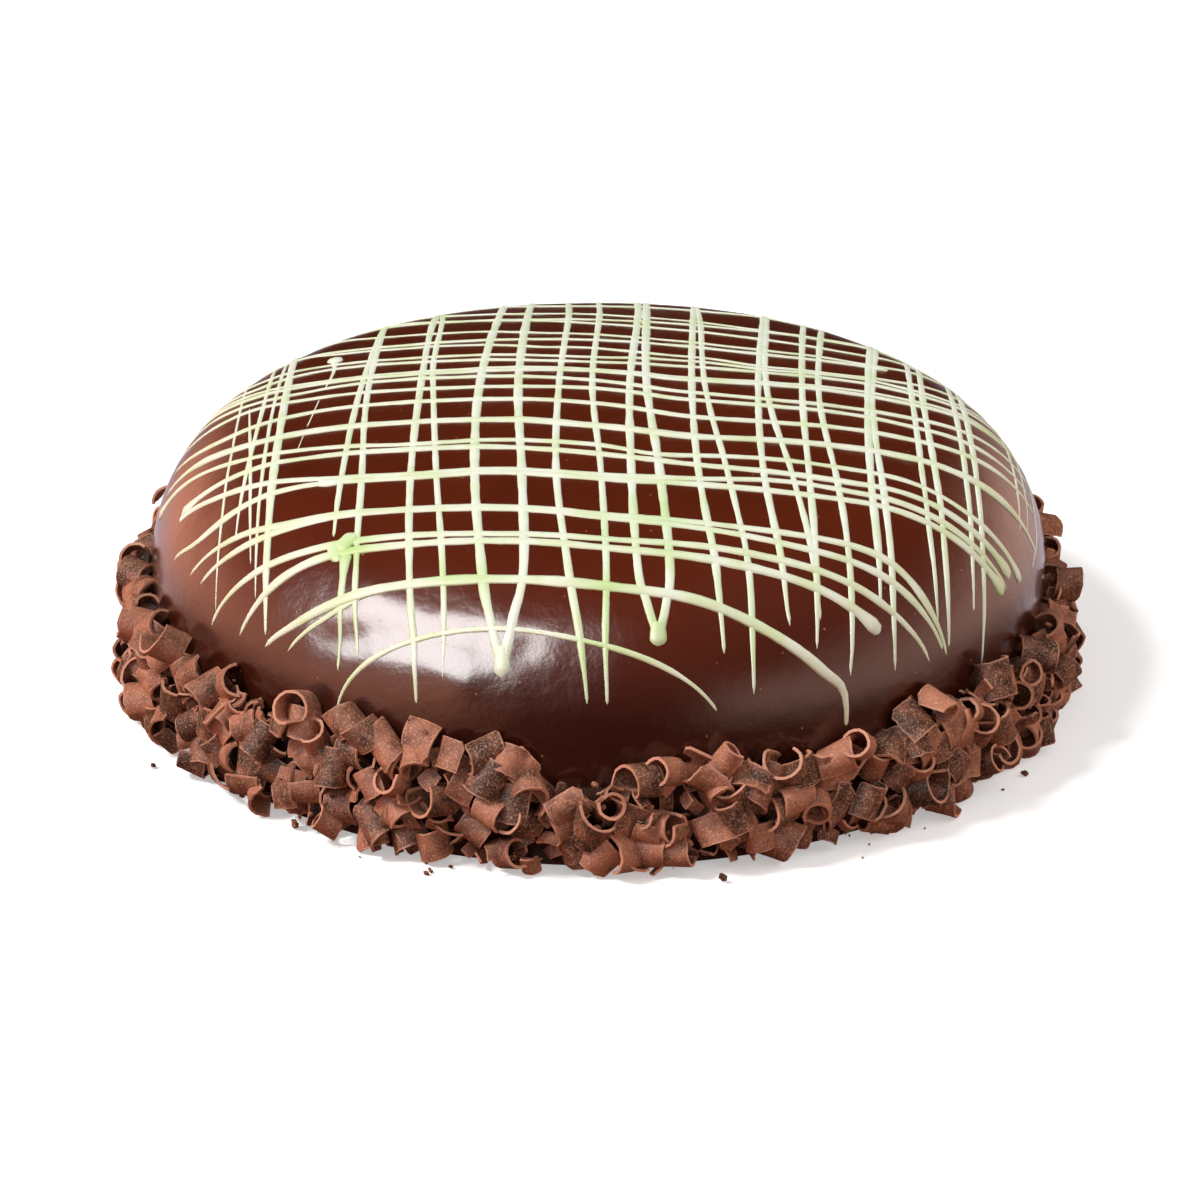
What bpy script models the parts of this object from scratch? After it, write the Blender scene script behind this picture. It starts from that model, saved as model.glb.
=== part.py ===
"""Chocolate mint cake.

A round cake under dark glaze, with a low crown and a deep round shoulder. Ridges of mint drizzle cross
its top in two directions and run out down the shoulder. A band of chocolate curls stands round its foot.
"""

import math
import random
from typing import NamedTuple

import bmesh
import bpy
from mathutils import Matrix, Vector

MM = 0.001

# Cake. The crown is a shallow cap, and the shoulder is an arc from the crown to the upright side.
CAKE_RADIUS = 102.5 * MM
CAKE_HEIGHT = 66.0 * MM
CROWN_RADIUS = 400.0 * MM
SHOULDER_RADIUS = 34.0 * MM
CAKE_SIDES = 44
SHOULDER_STEPS = 7
CROWN_RINGS = 2

# Drizzle. A ridge is widest where it meets the glaze, and its foot is sunk in the glaze.
RIDGE_HEIGHT = 1.1 * MM
RIDGE_SINK = 0.9 * MM
RIDGE_TIP = 0.45
LONGEST_RIDGE_STEP = 30.0 * MM
RIDGE_TURN = math.radians(17.0)
SMALL_STEP = 1.0 * MM
ENDS_AT_RADIUS = 100.5 * MM

# Ridges from back to front, in millimetres: x at the three stations, x and y of the front end, and width.
# Two neighbours with one front end are the two sides of a turn.
LENGTHWAYS_STATIONS = (60.0, 0.0, -60.0)
LENGTHWAYS = (
    (-73.0, -71.8, -69.3, -69.0, -73.0, 2.8),
    (-52.5, -53.2, -50.2, -49.0, -86.0, 2.5),
    (-40.0, -40.0, -39.6, -36.0, -93.0, 2.5),
    (-24.5, -27.0, -24.6, -18.5, -96.0, 2.3),
    (-16.0, -18.2, -15.6, -18.5, -96.0, 2.3),
    (-3.0, -4.0, -2.0, 0.5, -99.5, 2.5),
    (8.0, 6.4, 7.6, 12.0, -94.5, 2.3),
    (14.6, 12.6, 15.0, 12.0, -94.5, 2.3),
    (25.0, 22.4, 24.6, 27.5, -93.0, 2.5),
    (40.4, 36.2, 36.0, 38.5, -87.0, 2.5),
    (54.5, 49.8, 51.6, 51.6, -86.0, 2.4),
    (67.2, 61.6, 59.4, 60.0, -79.0, 2.8),
    (81.6, 78.0, 76.6, 76.0, -64.0, 2.8),
)
TURN_LENGTH = 18.0

# Ridges from side to side, in millimetres: y at the three stations, x of both ends, and width.
CROSSWAYS_STATIONS = (-60.0, 10.0, 75.0)
CROSSWAYS = (
    (-77.0, -86.6, -90.0, -66.0, 50.0, 2.6),
    (-68.0, -77.2, -78.8, -73.0, 58.0, 2.6),
    (-57.0, -65.8, -71.0, -83.0, 70.0, 2.6),
    (-43.2, -49.8, -51.6, -89.0, 86.0, 2.8),
    (-30.4, -40.4, -44.8, -95.0, 89.0, 2.6),
    (-17.0, -27.2, -28.4, -97.0, 96.0, 3.0),
    (-3.5, -14.0, -17.0, -99.0, 98.0, 2.6),
    (11.4, 3.2, 2.2, -98.0, 98.0, 2.8),
    (26.6, 17.4, 15.6, -96.0, 97.0, 2.7),
    (41.6, 33.6, 29.2, -92.0, 70.0, 2.7),
    (56.0, 50.0, 45.0, -82.0, 88.0, 2.7),
    (73.0, 68.0, 62.5, -67.0, 77.0, 2.7),
)

# Curls. The core is the packed chocolate behind them, and each row leans on it.
CAKE_GAP = 0.4 * MM
CORE_OUTLINE = (
    (104.6 * MM, 0.0),
    (107.0 * MM, 7.0 * MM),
    (106.8 * MM, 16.0 * MM),
    (104.6 * MM, 25.0 * MM),
)
CURL_WALL = 1.0 * MM
CURL_COLUMNS = 50
CURL_ROWS = (4.5 * MM, 14.5 * MM, 26.5 * MM)
HEIGHT_SCATTER = 2.0 * MM
COLUMN_SCATTER = 0.15
CURL_LIFT = 2.0 * MM
CURL_TILT = math.radians(63.0)
CURL_ROCK = math.radians(40.0)
BAND_REACH = 115.0 * MM
BAND_TOP = 37.0 * MM
FLOOR_GAP = 0.3 * MM
SEED = 11


class CurlKind(NamedTuple):
    """A kind of curl: its share of the band, and the range of its bend's radius and of its width."""

    share: float
    least_bend: float
    most_bend: float
    arc: float
    least_width: float
    most_width: float
    facets: int


CURL_KINDS = (
    CurlKind(0.35, 7.5 * MM, 9.5 * MM, math.radians(75.0), 9.0 * MM, 11.5 * MM, 2),
    CurlKind(0.45, 4.4 * MM, 5.6 * MM, math.radians(180.0), 8.0 * MM, 10.5 * MM, 3),
    CurlKind(0.20, 3.6 * MM, 4.2 * MM, math.radians(270.0), 7.5 * MM, 9.5 * MM, 4),
)

CROWN_CENTRE = CAKE_HEIGHT - CROWN_RADIUS
SHOULDER_CENTRE = Vector(
    (
        CAKE_RADIUS - SHOULDER_RADIUS,
        CROWN_CENTRE
        + math.sqrt((CROWN_RADIUS - SHOULDER_RADIUS) ** 2 - (CAKE_RADIUS - SHOULDER_RADIUS) ** 2),
    )
)
CROWN_ANGLE = math.asin((CAKE_RADIUS - SHOULDER_RADIUS) / (CROWN_RADIUS - SHOULDER_RADIUS))


def clear_scene():
    for thing in list(bpy.data.objects):
        bpy.data.objects.remove(thing)


def food_material(name, colour, roughness):
    material = bpy.data.materials.new(name)
    material.use_nodes = True
    shader = material.node_tree.nodes["Principled BSDF"]
    shader.inputs["Base Color"].default_value = (*colour, 1.0)
    shader.inputs["Roughness"].default_value = roughness
    shader.inputs["Metallic"].default_value = 0.0
    return material


def add_object(name, shape, materials, collection=None):
    """Puts a bmesh into the scene as a named object and frees it."""
    mesh = bpy.data.meshes.new(name)
    shape.to_mesh(mesh)
    shape.free()
    for material in materials:
        mesh.materials.append(material)
    thing = bpy.data.objects.new(name, mesh)
    (collection or bpy.context.scene.collection).objects.link(thing)
    return thing


def turned(outline):
    """A closed outline of (radius, height) points turned round the Z axis."""
    shape = bmesh.new()
    corners = [shape.verts.new((radius, 0.0, height)) for radius, height in outline]
    edges = [shape.edges.new(pair) for pair in zip(corners, corners[1:])]
    if outline[0][0] > 0.0:
        edges.append(shape.edges.new((corners[-1], corners[0])))
    bmesh.ops.spin(
        shape,
        geom=corners + edges,
        cent=(0, 0, 0),
        axis=(0, 0, 1),
        angle=2 * math.pi,
        steps=CAKE_SIDES,
    )
    bmesh.ops.remove_doubles(shape, verts=shape.verts, dist=0.01 * MM)
    bmesh.ops.recalc_face_normals(shape, faces=shape.faces)
    return shape


def cake_outline():
    """The cake's half section, from the middle of its base to the top of its crown."""
    outline = [(0.0, 0.0), (CAKE_RADIUS, 0.0)]
    for step in range(SHOULDER_STEPS + 1):
        angle = math.pi / 2 + (CROWN_ANGLE - math.pi / 2) * step / SHOULDER_STEPS
        outline.append(
            (
                SHOULDER_CENTRE.x + SHOULDER_RADIUS * math.sin(angle),
                SHOULDER_CENTRE.y + SHOULDER_RADIUS * math.cos(angle),
            )
        )
    for ring in range(CROWN_RINGS - 1, -1, -1):
        angle = CROWN_ANGLE * ring / CROWN_RINGS
        outline.append((CROWN_RADIUS * math.sin(angle), CROWN_CENTRE + CROWN_RADIUS * math.cos(angle)))
    return outline


def glaze_normal(x, y):
    """The direction in which the glaze faces over the point (x, y)."""
    radius = max(math.hypot(x, y), 1e-9)
    if radius < CROWN_RADIUS * math.sin(CROWN_ANGLE):
        slope = radius / CROWN_RADIUS
    else:
        slope = min((radius - SHOULDER_CENTRE.x) / SHOULDER_RADIUS, 1.0)
    return Vector((x / radius * slope, y / radius * slope, math.sqrt(1 - slope * slope)))


def on_glaze(x, y):
    """The point of the glaze over (x, y)."""
    normal = glaze_normal(x, y)
    if math.hypot(x, y) < CROWN_RADIUS * math.sin(CROWN_ANGLE):
        return Vector((x, y, CROWN_CENTRE + CROWN_RADIUS * normal.z))
    return Vector((x, y, SHOULDER_CENTRE.y + SHOULDER_RADIUS * normal.z))


def bend_through(stations, values, at):
    """The value at one place of the parabola through three stations."""
    total = 0.0
    for i, value in enumerate(values):
        others = [station for j, station in enumerate(stations) if j != i]
        total += value * math.prod((at - other) / (stations[i] - other) for other in others)
    return total


def even_steps(first, last):
    count = math.ceil(abs(last - first) * MM / SMALL_STEP)
    return [first + (last - first) * i / count for i in range(count + 1)]


def lengthways_path(row):
    """Points of the glaze under a ridge that runs from the back to the front end."""
    *values, end_x, end_y, _ = row
    swing = end_x - bend_through(LENGTHWAYS_STATIONS, values, end_y)
    path = []
    for y in even_steps(100.0, end_y):
        near_end = max(1.0 - (y - end_y) / TURN_LENGTH, 0.0)
        x = bend_through(LENGTHWAYS_STATIONS, values, y) + swing * near_end**2
        path.append((x * MM, y * MM))
    return [on_glaze(x, y) for x, y in path if math.hypot(x, y) < ENDS_AT_RADIUS]


def crossways_path(row):
    """Points of the glaze under a ridge that runs from the left end to the right end."""
    *values, left_end, right_end, _ = row
    path = []
    for x in even_steps(left_end, right_end):
        y = bend_through(CROSSWAYS_STATIONS, values, x)
        path.append((x * MM, y * MM))
    return [on_glaze(x, y) for x, y in path if math.hypot(x, y) < ENDS_AT_RADIUS]


def thinned(path):
    """The path's two ends and the points between them where it has turned or run on far enough."""
    kept = [path[0]]
    for point in path[1:-1]:
        turn = glaze_normal(*kept[-1].xy).angle(glaze_normal(*point.xy))
        if turn > RIDGE_TURN or (point - kept[-1]).length > LONGEST_RIDGE_STEP:
            kept.append(point)
    return kept + [path[-1]]


def ridge(path, width):
    """A three-sided ridge along the path, narrower at both ends."""
    shape = bmesh.new()
    rings = []
    foot_spread = 1 + RIDGE_SINK / RIDGE_HEIGHT
    for i, point in enumerate(path):
        ahead = path[min(i + 1, len(path) - 1)] - path[max(i - 1, 0)]
        up = glaze_normal(*point.xy)
        side = ahead.cross(up).normalized()
        size = RIDGE_TIP if i in (0, len(path) - 1) else 1.0
        foot = point - up * RIDGE_SINK
        half = side * (width / 2 * size * foot_spread)
        top = point + up * (RIDGE_HEIGHT * size)
        rings.append([shape.verts.new(corner) for corner in (foot - half, foot + half, top)])
    for ring, following in zip(rings, rings[1:]):
        for i in range(3):
            j = (i + 1) % 3
            shape.faces.new((ring[i], ring[j], following[j], following[i]))
    shape.faces.new(rings[0])
    shape.faces.new(rings[-1])
    bmesh.ops.triangulate(shape, faces=shape.faces)
    bmesh.ops.recalc_face_normals(shape, faces=shape.faces)
    for face in shape.faces:
        face.material_index = 1
    return shape


def largest_body(mesh):
    """Drops loose scraps and sealed hollows, so that one closed body is left."""
    shape = bmesh.new()
    shape.from_mesh(mesh)
    unseen = set(shape.verts)
    bodies = []
    while unseen:
        body = [unseen.pop()]
        for vert in body:
            near = {edge.other_vert(vert) for edge in vert.link_edges} & unseen
            unseen -= near
            body.extend(near)
        bodies.append(body)
    bodies.sort(key=len)
    bmesh.ops.delete(shape, geom=[vert for body in bodies[:-1] for vert in body], context="VERTS")
    shape.to_mesh(mesh)
    shape.free()


def fused(base, collection):
    """Joins a collection's shapes to the base with one union, and removes the collection."""
    union = base.modifiers.new("fused pieces", "BOOLEAN")
    union.operation = "UNION"
    union.operand_type = "COLLECTION"
    union.collection = collection
    union.solver = "EXACT"
    graph = bpy.context.evaluated_depsgraph_get()
    joined = bpy.data.meshes.new_from_object(base.evaluated_get(graph))
    base.modifiers.clear()
    base.data = joined
    joined.name = base.name
    for piece in list(collection.objects):
        bpy.data.objects.remove(piece)
    bpy.data.collections.remove(collection)
    largest_body(joined)


def build_cake():
    glaze = food_material("dark chocolate glaze", (0.045, 0.011, 0.005), 0.28)
    mint = food_material("mint icing", (0.62, 0.76, 0.46), 0.45)
    cake = add_object("glazed_cake", turned(cake_outline()), (glaze, mint))
    ridges = bpy.data.collections.new("drizzle ridges")
    bpy.context.scene.collection.children.link(ridges)
    paths = [(lengthways_path(row), row[-1] * MM) for row in LENGTHWAYS]
    paths += [(crossways_path(row), row[-1] * MM) for row in CROSSWAYS]
    for number, (path, width) in enumerate(paths):
        add_object(f"ridge_{number}", ridge(thinned(path), width), (glaze, mint), ridges)
    fused(cake, ridges)
    cake.data.set_sharp_from_angle(angle=math.radians(30.0))
    return cake


def curl(kind, draw):
    """A strip of chocolate bent about the X axis, with its hollow side down."""
    shape = bmesh.new()
    outer = draw.uniform(kind.least_bend, kind.most_bend)
    inner = outer - CURL_WALL
    half = draw.uniform(kind.least_width, kind.most_width) / 2
    rings = []
    for step in range(kind.facets + 1):
        angle = kind.arc * (step / kind.facets - 0.5)
        ring = []
        for radius, end in ((outer, -half), (outer, half), (inner, half), (inner, -half)):
            ring.append(shape.verts.new((end, radius * math.sin(angle), radius * math.cos(angle))))
        rings.append(ring)
    for ring, following in zip(rings, rings[1:]):
        for i in range(4):
            j = (i + 1) % 4
            shape.faces.new((ring[i], ring[j], following[j], following[i]))
    shape.faces.new(rings[0])
    shape.faces.new(rings[-1])
    bmesh.ops.recalc_face_normals(shape, faces=shape.faces)
    return shape


def core_radius(height):
    """The core's outer radius at a height, along its outline."""
    for (low_radius, low), (high_radius, high) in zip(CORE_OUTLINE, CORE_OUTLINE[1:]):
        if height <= high:
            return low_radius + (high_radius - low_radius) * (height - low) / (high - low)
    return CORE_OUTLINE[-1][0]


def set_in_band(shape, azimuth, height, draw):
    """Turns a curl at random, and moves it to its place so that it clears the cake and the floor."""
    tilt = Matrix.Rotation(draw.uniform(-CURL_TILT, CURL_TILT), 3, "X")
    rock = Matrix.Rotation(draw.uniform(-CURL_ROCK, CURL_ROCK), 3, "Y")
    spin = Matrix.Rotation(draw.uniform(0.0, math.pi), 3, "Z")
    bmesh.ops.rotate(shape, verts=shape.verts, matrix=tilt @ rock @ spin)
    middle = sum((vert.co for vert in shape.verts), Vector()) / len(shape.verts)
    bmesh.ops.translate(shape, verts=shape.verts, vec=-middle)
    outward = Matrix.Rotation(azimuth, 3, "Z") @ Matrix.Rotation(math.pi / 2, 3, "Y")
    place = Matrix.Rotation(azimuth, 3, "Z") @ Vector((core_radius(height) + CURL_LIFT, 0.0, height))
    bmesh.ops.rotate(shape, verts=shape.verts, matrix=outward)
    bmesh.ops.translate(shape, verts=shape.verts, vec=place)
    clear_of_cake = CAKE_RADIUS + CAKE_GAP
    nearest = min(vert.co.xy.length for vert in shape.verts)
    lowest = min(vert.co.z for vert in shape.verts)
    push = max(clear_of_cake - nearest, 0.0)
    away = Matrix.Rotation(azimuth, 3, "Z") @ Vector((push, 0.0, max(FLOOR_GAP - lowest, 0.0)))
    bmesh.ops.translate(shape, verts=shape.verts, vec=away)


def fits_band(shape):
    farthest = max(vert.co.xy.length for vert in shape.verts)
    highest = max(vert.co.z for vert in shape.verts)
    return farthest < BAND_REACH and highest < BAND_TOP


def build_curls():
    chocolate = food_material("chocolate curls", (0.13, 0.055, 0.035), 0.6)
    inner = CAKE_RADIUS + CAKE_GAP
    outline = [(inner, 0.0), *CORE_OUTLINE, (inner, CORE_OUTLINE[-1][1])]
    core = add_object("chocolate_curls", turned(outline), (chocolate,))
    curls = bpy.data.collections.new("curls")
    bpy.context.scene.collection.children.link(curls)
    draw = random.Random(SEED)
    shares = [kind.share for kind in CURL_KINDS]
    for row, row_height in enumerate(CURL_ROWS):
        stagger = 0.5 * (row % 2)
        for column in range(CURL_COLUMNS):
            turn = column + stagger + draw.uniform(-COLUMN_SCATTER, COLUMN_SCATTER)
            azimuth = 2 * math.pi * turn / CURL_COLUMNS
            height = row_height + draw.uniform(-HEIGHT_SCATTER, HEIGHT_SCATTER)
            shape = curl(draw.choices(CURL_KINDS, shares)[0], draw)
            set_in_band(shape, azimuth, height, draw)
            if fits_band(shape):
                add_object(f"curl_{row}_{column}", shape, (chocolate,), curls)
            else:
                shape.free()
    fused(core, curls)
    return core


def main():
    clear_scene()
    build_cake()
    build_curls()


if __name__ == "__main__":
    main()
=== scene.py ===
"""Chocolate mint cake: its glaze, its mint drizzle, its band of chocolate curls, and a pale studio.

Each sub-assembly is a class with its sizes as fields, in metres unless a name says otherwise.
"""

import logging
import math
import random
import sys
from dataclasses import dataclass
from enum import Enum
from typing import Any

import bpy
import numpy as np
from mathutils import Matrix, Vector, kdtree, noise

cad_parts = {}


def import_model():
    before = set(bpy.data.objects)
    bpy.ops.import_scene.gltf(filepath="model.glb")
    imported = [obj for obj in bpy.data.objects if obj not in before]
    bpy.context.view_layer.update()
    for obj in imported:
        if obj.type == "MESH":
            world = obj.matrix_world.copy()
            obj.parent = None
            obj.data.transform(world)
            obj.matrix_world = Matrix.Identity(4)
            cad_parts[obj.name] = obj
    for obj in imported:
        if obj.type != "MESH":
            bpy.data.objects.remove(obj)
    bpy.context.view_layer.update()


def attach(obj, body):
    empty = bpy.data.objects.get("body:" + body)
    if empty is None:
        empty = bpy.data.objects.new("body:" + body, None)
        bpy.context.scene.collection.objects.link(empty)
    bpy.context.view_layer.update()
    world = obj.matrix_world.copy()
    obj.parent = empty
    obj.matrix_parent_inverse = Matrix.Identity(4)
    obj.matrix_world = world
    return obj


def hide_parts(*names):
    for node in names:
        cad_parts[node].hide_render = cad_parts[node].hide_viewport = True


log = logging.getLogger("cake")

MM = 0.001
WELD = 0.005 * MM  # corners closer than this become one
UP = Vector((0.0, 0.0, 1.0))

Socket = bpy.types.NodeSocket
Colour = tuple[float, float, float, float]
Span = tuple[float, float]
Point = tuple[float, float]


# ---------------------------------------------------------------- small tools


def linear(code: str) -> Colour:
    """Turns an sRGB hex colour into Blender's linear values.

    Args:
        code: The colour as #rrggbb.

    Returns:
        Linear red, green and blue, with an alpha of 1.
    """
    parts = [int(code[i : i + 2], 16) / 255 for i in (1, 3, 5)]
    red, green, blue = (p / 12.92 if p <= 0.04045 else ((p + 0.055) / 1.055) ** 2.4 for p in parts)
    return red, green, blue, 1.0


def per_metre(size_mm: float) -> float:
    """The noise scale whose features are about this many millimetres across."""
    return 1.0 / (size_mm * MM)


def rise(low: float, high: float, at: float) -> float:
    """A smooth step from 0 at low to 1 at high."""
    t = min(max((at - low) / (high - low), 0.0), 1.0)
    return t * t * (3 - 2 * t)


def select_only(thing: bpy.types.Object) -> None:
    """Makes one object the only selected one, and the active one.

    Args:
        thing: The object.
    """
    bpy.ops.object.select_all(action="DESELECT")
    thing.select_set(True)
    bpy.context.view_layer.objects.active = thing


def apply_modifier(thing: bpy.types.Object, kind: str, **settings: Any) -> None:
    """Adds a modifier to an object and applies it at once.

    Args:
        thing: The object, which becomes the selected one.
        kind: The modifier's type name.
        **settings: The modifier's properties.
    """
    select_only(thing)
    modifier = thing.modifiers.new(kind.lower(), kind)
    for name, value in settings.items():
        setattr(modifier, name, value)
    bpy.ops.object.modifier_apply(modifier=modifier.name)


def smooth_by_angle(thing: bpy.types.Object, degrees: float) -> None:
    """Smooths the shading of an object across edges flatter than an angle."""
    select_only(thing)
    bpy.ops.object.shade_smooth_by_angle(angle=math.radians(degrees))


def copied(pattern: bpy.types.Object, tone: float, moves: Matrix) -> bpy.types.Object:
    """Copies a curl or a crumb with a mesh of its own.

    Args:
        pattern: The piece to copy.
        tone: How light the copy's chocolate is, from 0 to 1.
        moves: The matrix that puts its mesh in place.

    Returns:
        The copy.
    """
    copy = pattern.copy()
    copy.data = pattern.data.copy()
    bpy.context.scene.collection.objects.link(copy)
    copy.data.transform(moves)
    mark = copy.data.attributes.new("tone", "FLOAT", "POINT")
    mark.data.foreach_set("value", [tone] * len(copy.data.vertices))
    return copy


def join_all(things: list[bpy.types.Object], name: str) -> bpy.types.Object:
    """Joins objects into one.

    Args:
        things: The objects, of which the first keeps its material slots' order.
        name: The joined object's name.

    Returns:
        The joined object.
    """
    bpy.ops.object.select_all(action="DESELECT")
    for thing in things:
        thing.select_set(True)
    joined = things[0]
    bpy.context.view_layer.objects.active = joined
    bpy.ops.object.join()
    joined.name = joined.data.name = name
    return joined


def turned_solid(outline: list[Point], sides: int, name: str) -> bpy.types.Object:
    """Draws a half section by extruding a corner, and spins it round the Z axis.

    Args:
        outline: Points as (radius, height). It is closed if it starts away from the axis.
        sides: The number of steps round.
        name: The object's name.

    Returns:
        The closed solid.
    """
    bpy.ops.object.select_all(action="DESELECT")
    first = Vector((outline[0][0], 0.0, outline[0][1]))
    bpy.ops.mesh.primitive_plane_add(size=MM, location=first)
    solid = bpy.context.object
    solid.name = solid.data.name = name
    bpy.ops.object.transform_apply(location=True, rotation=True, scale=True)
    bpy.ops.object.mode_set(mode="EDIT")
    bpy.ops.mesh.merge(type="CENTER")
    corners = [Vector((reach, 0.0, height)) for reach, height in outline]
    if outline[0][0] > 0.0:
        corners.append(corners[0])
    for here, there in zip(corners, corners[1:]):
        bpy.ops.mesh.extrude_region_move(TRANSFORM_OT_translate={"value": there - here})
    bpy.ops.mesh.select_all(action="SELECT")
    bpy.ops.mesh.spin(steps=sides, angle=2 * math.pi, center=(0, 0, 0), axis=(0, 0, 1))
    bpy.ops.mesh.select_all(action="SELECT")
    bpy.ops.mesh.remove_doubles(threshold=WELD)
    bpy.ops.mesh.normals_make_consistent(inside=False)
    bpy.ops.object.mode_set(mode="OBJECT")
    return solid


# --------------------------------------------------------------- shader nodes


def feed(tree: bpy.types.NodeTree, node: bpy.types.Node, inputs: dict[str | int, Any]) -> None:
    """Gives a node's inputs their values and their links.

    Args:
        tree: The node tree.
        node: The node.
        inputs: For each input, by name or place, a value or the output that feeds it.
    """
    for name, value in inputs.items():
        if isinstance(value, Socket):
            tree.links.new(value, node.inputs[name])
        else:
            node.inputs[name].default_value = value


def add_node(
    tree: bpy.types.NodeTree, kind: str, inputs: dict[str | int, Any] | None = None, **settings: Any
) -> bpy.types.Node:
    """Adds a node with its settings, its values and its links.

    Args:
        tree: The node tree that gets it.
        kind: What follows ShaderNode in the name of its type.
        inputs: For each input, by name or place, a value or the output that feeds it.
        **settings: Properties of the node itself.

    Returns:
        The new node.
    """
    node = tree.nodes.new("ShaderNode" + kind)
    for name, value in settings.items():
        setattr(node, name, value)
    feed(tree, node, inputs or {})
    return node


@dataclass(frozen=True)
class Shading:
    """A node tree, with a short call for each kind of node that the finishes repeat."""

    tree: bpy.types.NodeTree

    def place(self, system: str = "Object") -> Socket:
        """Where a point lies, in metres, or in another of Blender's coordinate systems."""
        return add_node(self.tree, "TexCoord").outputs[system]

    def parts(self, vector: Socket) -> tuple[Socket, ...]:
        """The X, Y and Z of a vector."""
        return tuple(add_node(self.tree, "SeparateXYZ", {0: vector}).outputs)

    def attribute(self, name: str) -> Socket:
        """A value that the mesh holds at its corners."""
        return add_node(self.tree, "Attribute", attribute_name=name).outputs["Fac"]

    def noise(self, place: Socket, scale: float, detail: float, roughness: float = 0.5) -> Socket:
        """Cloudy noise, with this many features for one unit of the place."""
        inputs = {"Vector": place, "Scale": scale, "Detail": detail, "Roughness": roughness}
        return add_node(self.tree, "TexNoise", inputs).outputs["Fac"]

    def math(self, operation: str, *values: Socket | float) -> Socket:
        """The result of one of Blender's math operations."""
        return add_node(self.tree, "Math", dict(enumerate(values)), operation=operation).outputs[0]

    def ramp(
        self, value: Socket, ends: Span, results: Span = (0.0, 1.0), curve: str = "LINEAR"
    ) -> Socket:
        """Goes from the first result to the second as the value goes from the first end to the second."""
        inputs = {"Value": value, 1: ends[0], 2: ends[1], 3: results[0], 4: results[1]}
        return add_node(self.tree, "MapRange", inputs, interpolation_type=curve).outputs[0]

    def blend(self, share: Socket, first: Socket | Colour, second: Socket | Colour) -> Socket:
        """Goes from the first colour to the second as the share goes from 0 to 1."""
        inputs = {0: share, 6: first, 7: second}
        return add_node(self.tree, "Mix", inputs, data_type="RGBA").outputs[2]

    def relief(self, height: Socket, depth: float, strength: float) -> Socket:
        """The way that a face with fine relief of this depth looks at each point."""
        inputs = {"Strength": strength, "Distance": depth, "Height": height}
        return add_node(self.tree, "Bump", inputs).outputs[0]


# ------------------------------------------------------------------- finishes


@dataclass(frozen=True)
class Finish:
    """What all finishes share: a name, and a material whose shader gets the finish's own inputs."""

    name: str

    def inputs(self, shading: Shading) -> dict[str, Any]:
        """The value or output for each input of the shader, which each finish gives for itself."""
        raise NotImplementedError

    def build(self) -> bpy.types.Material:
        """Makes the material.

        Returns:
            The material.
        """
        material = bpy.data.materials.new(self.name)
        material.use_nodes = True
        tree = material.node_tree
        feed(tree, tree.nodes["Principled BSDF"], self.inputs(Shading(tree)))
        return material


@dataclass(frozen=True)
class GlazeFinish(Finish):
    """Chocolate mirror glaze, poured over a chilled cake.

    It sets with a soft gloss: warm brown on top, darker low on the side where shade and the curls' dark
    reflection are painted in, milky where a lamp meets it at a slant, with a few fine crumbs and air specks
    in its skin.
    """

    name: str = "poured_dark_chocolate_glaze"
    deep: str = "#4e1a09"
    warm: str = "#64260f"
    # The colour of the painted shade low on the side, next to the curls.
    painted_shade_colour: str = "#3a1105"
    speck: str = "#a8745c"
    painted_shade_heights: Span = (30.0 * MM, 50.0 * MM)
    roughness: float = 0.28
    ior: float = 1.47
    coat: float = 0.8
    coat_roughness: float = 0.15
    cloud_mm: float = 30.0
    speck_mm: float = 2.2
    speck_edge: Span = (0.07, 0.15)
    speck_strength: float = 0.85
    speckless_share: float = 0.89
    ripple_mm: float = 9.0
    ripple_depth: float = 0.9 * MM
    ripple_strength: float = 0.5
    grain_mm: float = 0.9
    grain_share: float = 0.12

    def inputs(self, shading: Shading) -> dict[str, Any]:
        """Clouds, then painted shade low on the side, then specks, over ripples with a fine grain.

        Args:
            shading: The material's node tree.

        Returns:
            The value or output for each input of the shader.
        """
        place = shading.place()
        cloud = shading.noise(place, per_metre(self.cloud_mm), 3.0)
        # Painted shade: the colour darkens towards the foot below the given heights, for the shade and dark
        # reflection of the curls.
        level = shading.parts(place)[2]
        run = shading.ramp(level, self.painted_shade_heights, (1.0, 0.0), "SMOOTHSTEP")
        cells = add_node(
            shading.tree, "TexVoronoi", {"Vector": place, "Scale": per_metre(self.speck_mm)}
        )
        chance = add_node(shading.tree, "SeparateColor", {0: cells.outputs["Color"]}).outputs[0]
        few = shading.math("GREATER_THAN", chance, self.speckless_share)
        near = shading.ramp(cells.outputs["Distance"], self.speck_edge, (self.speck_strength, 0.0))
        colour = shading.blend(cloud, linear(self.deep), linear(self.warm))
        colour = shading.blend(run, colour, linear(self.painted_shade_colour))
        colour = shading.blend(shading.math("MULTIPLY", few, near), colour, linear(self.speck))
        ripple = shading.noise(place, per_metre(self.ripple_mm), 2.0)
        grain = shading.noise(place, per_metre(self.grain_mm), 1.0)
        height = shading.math("MULTIPLY_ADD", grain, self.grain_share, ripple)
        return {
            "Base Color": colour,
            "Normal": shading.relief(height, self.ripple_depth, self.ripple_strength),
            "Roughness": self.roughness,
            "IOR": self.ior,
            "Coat Weight": self.coat,
            "Coat Roughness": self.coat_roughness,
        }


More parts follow.
